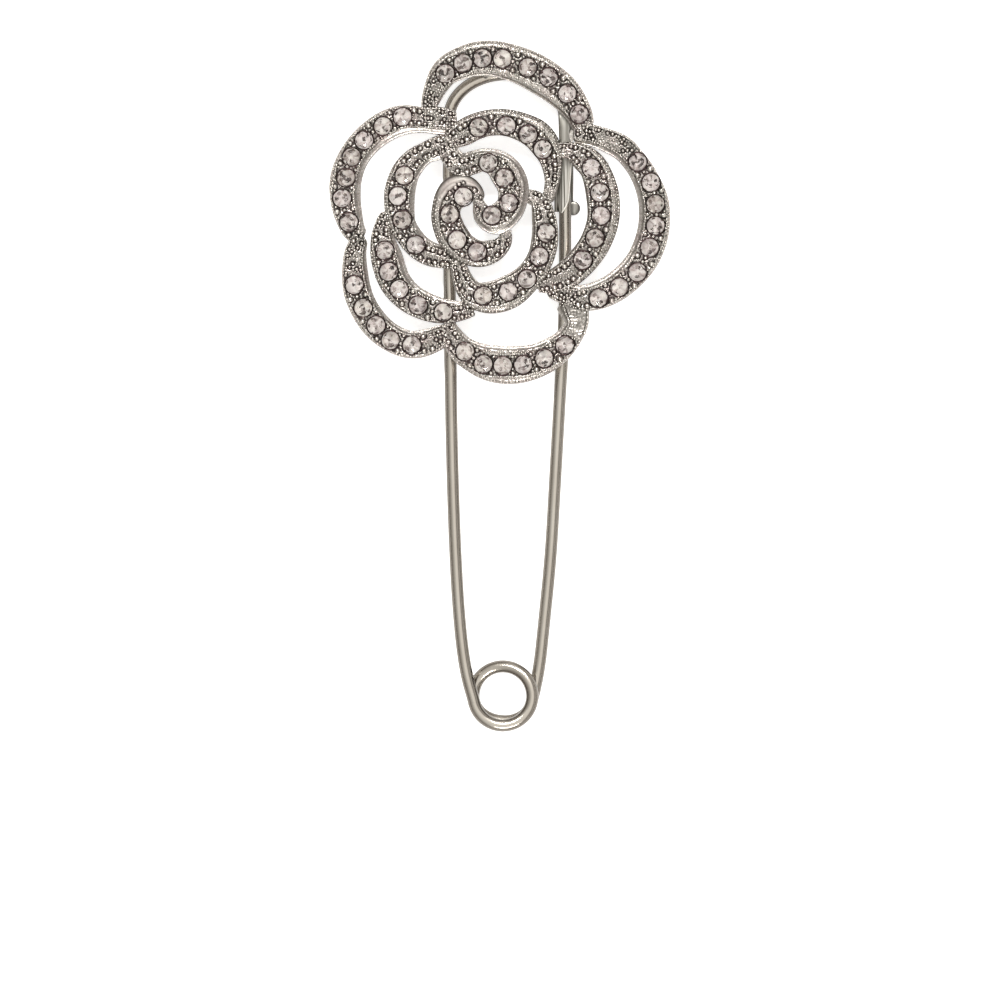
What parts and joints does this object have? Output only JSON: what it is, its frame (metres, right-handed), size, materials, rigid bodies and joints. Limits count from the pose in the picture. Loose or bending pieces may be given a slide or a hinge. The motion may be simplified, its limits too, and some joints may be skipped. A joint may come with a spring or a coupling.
{
  "type": "safety pin brooch",
  "caption": "Long wire safety pin with a spring coil and a folded catch, carrying an openwork rose of curled petal bands set with round crystals.",
  "frame": {"origin": "middle of the footprint, on the surface that the brooch lies on", "axes": "+Z out of the front of the rose, +Y along the pin from the spring coil to the top of the rose"},
  "size_m": [0.0409, 0.083, 0.006],
  "materials": {
    "silver_casting": "cast, plated and polished",
    "steel_wire": "polished",
    "crystal": "faceted, foiled back"
  },
  "bodies": {
    "frame": {"rose_frame": "silver_casting", "spring_coil": "steel_wire", "stones_top": "crystal", "stones_upper_left": "crystal", "stones_left_inner": "crystal", "stones_lower_left_inner": "crystal", "stones_lower_left": "crystal", "stones_bottom": "crystal", "stones_right": "crystal", "stones_right_inner": "crystal", "stones_inner_top": "crystal", "stones_heart": "crystal", "stones_curl_top": "crystal", "stones_curl_left": "crystal"},
    "arm": {"pin_arm": "steel_wire"}
  },
  "joints": [
    {"name": "pin_swing", "type": "hinge", "parent": "frame", "child": "arm", "pos_m": [0.00034, -0.03721, 0.00075], "axis": [0, 0, -1], "range_deg": [0, 28], "stiffness_Nm_per_rad": 0.02, "springref_deg": -8.59, "deforming": ["spring_coil"]}
  ]
}
